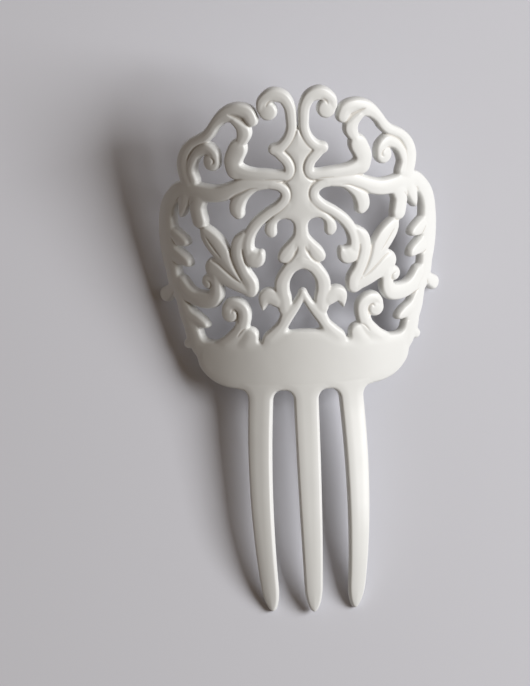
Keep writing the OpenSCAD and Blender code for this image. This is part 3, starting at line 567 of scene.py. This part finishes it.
def bend_tree():
    """Bends the flat comb along its side line and round the head, and rests it on the table in metres."""
    tree, size = new_tree("bend round the head", [
        ("Side line", "NodeSocketObject"), ("Line start", "NodeSocketFloat"),
        ("Head radius", "NodeSocketFloat"), ("Thickness", "NodeSocketFloat"),
        ("Crease steps", "NodeSocketInt"), ("Crease depth", "NodeSocketFloat"),
        ("Metres", "NodeSocketFloat"), ("Plastic", "NodeSocketMaterial")])
    start = add_node(tree, "GeometryNodeInputPosition").outputs[0]
    flat = add_node(tree, "ShaderNodeSeparateXYZ", {0: start})
    front = add_node(tree, "ShaderNodeMath", {0: size["Head radius"], 1: size["Thickness"]}, operation="ADD")
    reach = add_node(tree, "ShaderNodeMath", {0: size["Head radius"], 1: flat.outputs["Z"]}, operation="ADD")
    turn = add_node(tree, "ShaderNodeMath", {0: flat.outputs["X"], 1: front.outputs[0]}, operation="DIVIDE")
    sine = add_node(tree, "ShaderNodeMath", {0: turn.outputs[0]}, operation="SINE")
    cosine = add_node(tree, "ShaderNodeMath", {0: turn.outputs[0]}, operation="COSINE")
    aside = add_node(tree, "ShaderNodeMath", {0: reach.outputs[0], 1: sine.outputs[0]}, operation="MULTIPLY")
    up = add_node(tree, "ShaderNodeMath", {0: reach.outputs[0], 1: cosine.outputs[0]}, operation="MULTIPLY")
    rise = add_node(tree, "ShaderNodeMath", {0: up.outputs[0], 1: front.outputs[0]}, operation="SUBTRACT")
    along = add_node(tree, "ShaderNodeMath", {0: flat.outputs["Y"], 1: size["Line start"]},
                     operation="SUBTRACT")
    line = add_node(tree, "GeometryNodeMeshToCurve", {
        "Mesh": add_node(tree, "GeometryNodeObjectInfo", {"Object": size["Side line"]}).outputs["Geometry"]})
    spot = add_node(tree, "GeometryNodeSampleCurve", {"Curves": line.outputs[0], "Length": along.outputs[0]},
                    mode="LENGTH")
    normal = add_node(tree, "ShaderNodeVectorMath", {0: (1, 0, 0), 1: spot.outputs["Tangent"]},
                      operation="CROSS_PRODUCT")
    raised = add_node(tree, "ShaderNodeVectorMath",
                      {0: normal.outputs[0], 1: rise.outputs[0], 2: spot.outputs["Position"]},
                      operation="MULTIPLY_ADD")
    bent = add_node(tree, "ShaderNodeVectorMath", {
        0: raised.outputs[0], 1: add_node(tree, "ShaderNodeCombineXYZ", {"X": aside.outputs[0]}).outputs[0]},
        operation="ADD")
    comb = add_node(tree, "GeometryNodeSetPosition",
                    {"Geometry": size["Geometry"], "Position": bent.outputs[0]})
    box = add_node(tree, "GeometryNodeBoundBox", {"Geometry": comb.outputs[0]})
    middle = add_node(tree, "ShaderNodeVectorMath", {0: box.outputs["Min"], 1: box.outputs["Max"]},
                      operation="ADD")
    half = add_node(tree, "ShaderNodeSeparateXYZ", {0: add_node(
        tree, "ShaderNodeVectorMath", {0: middle.outputs[0], "Scale": -0.5}, operation="SCALE").outputs[0]})
    lowest = add_node(tree, "ShaderNodeSeparateXYZ", {0: add_node(
        tree, "ShaderNodeVectorMath", {0: box.outputs["Min"], "Scale": -1.0}, operation="SCALE").outputs[0]})
    rested = add_node(tree, "GeometryNodeSetPosition", {
        "Geometry": comb.outputs[0],
        "Offset": add_node(tree, "ShaderNodeCombineXYZ",
                           {"Y": half.outputs["Y"], "Z": lowest.outputs["Z"]}).outputs[0]})
    # how deep each point lies in a crease; the plastic paints shade into the creases by it
    here = add_node(tree, "GeometryNodeInputPosition").outputs[0]
    wide = add_node(tree, "GeometryNodeBlurAttribute", {"Value": here, "Iterations": size["Crease steps"]},
                    data_type="FLOAT_VECTOR")
    away = add_node(tree, "ShaderNodeVectorMath", {0: wide.outputs[0], 1: here}, operation="SUBTRACT")
    sunk = add_node(tree, "ShaderNodeVectorMath",
                    {0: away.outputs[0], 1: add_node(tree, "GeometryNodeInputNormal").outputs[0]},
                    operation="DOT_PRODUCT")
    depth = add_node(tree, "ShaderNodeMath", {0: sunk.outputs["Value"], 1: size["Crease depth"]},
                     operation="DIVIDE")
    noted = add_node(tree, "GeometryNodeStoreNamedAttribute",
                     {"Geometry": rested.outputs[0], "Name": "crease", "Value": depth.outputs[0]},
                     data_type="FLOAT", domain="POINT")
    metres = add_node(tree, "GeometryNodeTransform", {"Geometry": noted.outputs[0]})
    tree.links.new(size["Metres"], metres.inputs["Scale"])
    real = add_node(tree, "GeometryNodeRealizeInstances", {"Geometry": metres.outputs[0]})
    coloured = add_node(tree, "GeometryNodeSetMaterial",
                        {"Geometry": real.outputs[0], "Material": size["Plastic"]})
    add_node(tree, "NodeGroupOutput", {"Geometry": coloured.outputs[0]})
    return tree


SETTLE_TURNS = 6


def patches(owner, pairs):
    """Number of the connected patch of equal owner that each square is in, from pairs of neighbours."""
    same = pairs[owner[pairs[:, 0]] == owner[pairs[:, 1]]]
    home = np.arange(len(owner))
    while True:
        low = home.copy()
        np.minimum.at(low, same[:, 0], home[same[:, 1]])
        np.minimum.at(low, same[:, 1], home[same[:, 0]])
        low = low[low]
        if (low == home).all():
            return home
        home = low


def settled(owner, pairs):
    """Owners of squares, where patches cut off from the rest of their piece join a neighbour."""
    owner = owner.copy()
    for _ in range(SETTLE_TURNS):
        home = patches(owner, pairs)
        size = np.bincount(home, minlength=len(owner))
        largest = {}
        for patch in np.unique(home):
            piece = owner[patch]
            if piece not in largest or size[patch] > size[largest[piece]]:
                largest[piece] = patch
        stray = ~np.isin(home, list(largest.values()))
        if not stray.any():
            break
        edge = pairs[stray[pairs[:, 0]] != stray[pairs[:, 1]]]
        inner = np.where(stray[edge[:, 0]], edge[:, 0], edge[:, 1])
        outer = np.where(stray[edge[:, 0]], edge[:, 1], edge[:, 0])
        for patch, piece in dict(zip(home[inner].tolist(), owner[outer].tolist())).items():
            owner[home == patch] = piece
    return owner


def node_of(piece, right):
    """Name of the frame's node that stands for a piece, on the right or the left."""
    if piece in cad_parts:
        return piece
    return ("right_" if right else "left_") + piece.replace("side_tooth", "tooth")


def bent_moulding(flat, faces, plastic):
    """Points, normals and crease depths of the flat moulding once it is bent."""
    mesh = bpy.data.meshes.new("moulding")
    mesh.from_pydata(flat, [], faces)
    mesh.shade_smooth()
    line = side_line()
    comb = run_tree(new_object("moulding", mesh), bend_tree(), {
        "Side line": line, "Line start": LINE_START, "Head radius": HEAD_R, "Thickness": FRONT_T,
        "Crease steps": CREASE_STEPS, "Crease depth": CREASE_FULL, "Metres": MM, "Plastic": plastic})
    total = len(flat)
    points, normals, crease = np.zeros(total * 3), np.zeros(total * 3), np.zeros(total)
    comb.data.vertices.foreach_get("co", points)
    comb.data.vertices.foreach_get("normal", normals)
    comb.data.attributes["crease"].data.foreach_get("value", crease)
    bpy.data.objects.remove(comb)
    bpy.data.objects.remove(line)
    return points.reshape(-1, 3), normals.reshape(-1, 3), crease


def twins(sides, count):
    """For each side of a square, the same side of the square next to it, or -1 at the border."""
    key, back = sides @ [count, 1], sides @ [1, count]
    order = np.argsort(key)
    found = np.minimum(np.searchsorted(key, back, sorter=order), len(key) - 1)
    return np.where(key[order[found]] == back, order[found], -1)


def part(plastic):
    """Bends the moulding and parts it into closed pieces, one for each node, that shade as one surface."""
    flat, point_owner, squares, sides, border, chain = moulding()
    count = len(point_owner)
    edges = sides[border]
    one, next_one = chain[edges[:, 0]], chain[edges[:, 1]]
    rows = range(chain.shape[1] - 1)
    strips = np.concatenate([
        np.stack([one[:, k], one[:, k + 1], next_one[:, k + 1], next_one[:, k]], 1) for k in rows])
    backs = squares[:, ::-1] + count
    points, normals, crease = bent_moulding(flat, np.concatenate([squares, backs, strips]), plastic)

    names = sorted(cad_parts)
    middle = flat[squares].mean(1)[:, 0]
    label = np.array([[names.index(node_of(piece, right)) for right in (False, True)] for piece in PIECES])
    owner = label[point_owner[squares[:, 0]], (middle > 0).astype(int)]
    twin = twins(sides, count)
    inner = np.flatnonzero(twin >= 0)
    owner = settled(owner, np.stack([inner // 4, twin[inner] // 4], 1))
    side_owner = np.repeat(owner, 4)
    # walls that close a piece where it meets another, from front to back and at their ends on the edge
    seam = inner[side_owner[inner] != side_owner[twin[inner]]]
    caps = np.column_stack([sides[seam, 0], sides[seam, 0] + count, sides[seam, 1] + count, sides[seam, 1]])
    leaving, arriving = np.full(count, -1), np.full(count, -1)
    leaving[edges[:, 0]] = side_owner[border]
    arriving[edges[:, 1]] = side_owner[border]
    ends = np.flatnonzero(leaving != arriving)
    strip_owner = np.tile(side_owner[border], len(rows))
    for index, name in enumerate(names):
        polygons = np.concatenate([squares[owner == index], backs[owner == index],
                                   strips[strip_owner == index], caps[side_owner[seam] == index]]).tolist()
        polygons += chain[ends[leaving[ends] == index], ::-1].tolist()
        polygons += chain[ends[arriving[ends] == index]].tolist()
        used = np.unique(np.concatenate(polygons))
        local = {int(v): i for i, v in enumerate(used)}
        piece_mesh = bpy.data.meshes.new(name)
        piece_mesh.from_pydata(points[used], [], [[local[v] for v in p] for p in polygons])
        piece_mesh.shade_smooth()
        piece_mesh.attributes.new("crease", "FLOAT", "POINT").data.foreach_set("value", crease[used])
        piece_mesh.normals_split_custom_set_from_vertices(normals[used].tolist())
        piece_mesh.materials.append(plastic)
        piece = new_object("moulded_" + name, piece_mesh)
        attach(piece, "root")
        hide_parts(name)


def plastic_material():
    """Injection-moulded polystyrene, white, from a polished mould: a soft gloss over a faintly milky body.

    The melt leaves clouds about 14 mm across and the skin is a little wavy; creases get a warm painted shade.
    """
    material = bpy.data.materials.new("moulded_white_polystyrene")
    material.use_nodes = True
    tree = material.node_tree
    shader = tree.nodes["Principled BSDF"]
    place = add_node(tree, "ShaderNodeTexCoord").outputs["Object"]
    clouds = add_node(tree, "ShaderNodeTexNoise", {"Vector": place, "Scale": 70.0, "Detail": 2.0})
    body = add_node(tree, "ShaderNodeMix",
                    {0: clouds.outputs["Fac"], 6: srgb("#E7E8E6"), 7: srgb("#DEDFDD")}, data_type="RGBA")
    sunk = add_node(tree, "ShaderNodeMapRange", {
        "Value": add_node(tree, "ShaderNodeAttribute", attribute_name="crease").outputs["Fac"],
        "From Min": 0.1, "From Max": 1.0, "To Min": 0.0, "To Max": 0.5})
    # painted shade: a warm grey laid into the creases, as deep as the crease attribute says, stands for the
    # shade there
    painted_crease_shade = add_node(tree, "ShaderNodeMix", {0: sunk.outputs[0], 6: body.outputs[2], 7: srgb("#BDB6AA")},
                    data_type="RGBA")
    tree.links.new(painted_crease_shade.outputs[2], shader.inputs["Base Color"])
    skin = add_node(tree, "ShaderNodeTexNoise", {"Vector": place, "Scale": 330.0, "Detail": 3.0})
    gloss = add_node(tree, "ShaderNodeMapRange",
                     {"Value": skin.outputs["Fac"], "To Min": 0.34, "To Max": 0.46})
    tree.links.new(gloss.outputs[0], shader.inputs["Roughness"])
    waves = add_node(tree, "ShaderNodeTexNoise", {"Vector": place, "Scale": 160.0, "Detail": 1.0})
    bump = add_node(tree, "ShaderNodeBump",
                    {"Height": waves.outputs["Fac"], "Strength": 0.15, "Distance": 0.4 * MM})
    tree.links.new(bump.outputs[0], shader.inputs["Normal"])
    shader.inputs["IOR"].default_value = 1.55
    return material


def floor_and_light():
    """A plain pale floor, one large soft lamp low on the right, and a weak warm light from all round."""
    mesh = bpy.data.meshes.new("floor")
    reach = 1.5
    mesh.from_pydata([(-reach, -reach, 0), (reach, -reach, 0), (reach, reach, 0), (-reach, reach, 0)], [],
                     [(0, 1, 2, 3)])
    floor = new_object("floor", mesh)
    paper = bpy.data.materials.new("pale_paper")
    paper.use_nodes = True
    paper.node_tree.nodes["Principled BSDF"].inputs["Base Color"].default_value = srgb("#D2D3DA")
    paper.node_tree.nodes["Principled BSDF"].inputs["Roughness"].default_value = 0.9
    mesh.materials.append(paper)
    lamp = bpy.data.lights.new("window", "AREA")
    lamp.shape = "RECTANGLE"
    lamp.size, lamp.size_y = 0.6, 0.6
    lamp.energy = 16.0
    window = new_object("window", lamp)
    window.location = (0.91, 0.07, 0.76)
    window.rotation_mode = "QUATERNION"
    window.rotation_quaternion = (Vector((0, 0, 0)) - window.location).to_track_quat("-Z", "Y")
    world = bpy.data.worlds.new("room")
    world.use_nodes = True
    world.node_tree.nodes["Background"].inputs["Color"].default_value = srgb("#FFE4C8")
    world.node_tree.nodes["Background"].inputs["Strength"].default_value = 0.125
    bpy.context.scene.world = world


def camera():
    """The photo's view: a long lens almost straight above the comb, turned and tilted a little."""
    distance, per_mm, picture_h = 3.0, 4.0965, 686
    target = Vector((-9.49, 2.09, 12)) * MM
    back = Vector((-0.0405, 0.0102, 1)).normalized()
    up = Vector((0.0461, 1, 0))
    right = up.cross(back).normalized()
    up = back.cross(right)
    data = bpy.data.cameras.new("camera")
    data.sensor_width = 36
    data.lens = per_mm / MM * distance * data.sensor_width / picture_h
    data.clip_start, data.clip_end = 0.01, 10
    cam = new_object("camera", data)
    turn = Matrix((right, up, back)).transposed().to_4x4()
    cam.matrix_world = Matrix.Translation(target + back * distance) @ turn
    bpy.context.scene.camera = cam


bpy.context.scene.view_settings.view_transform = "Standard"
camera()
floor_and_light()
part(plastic_material())
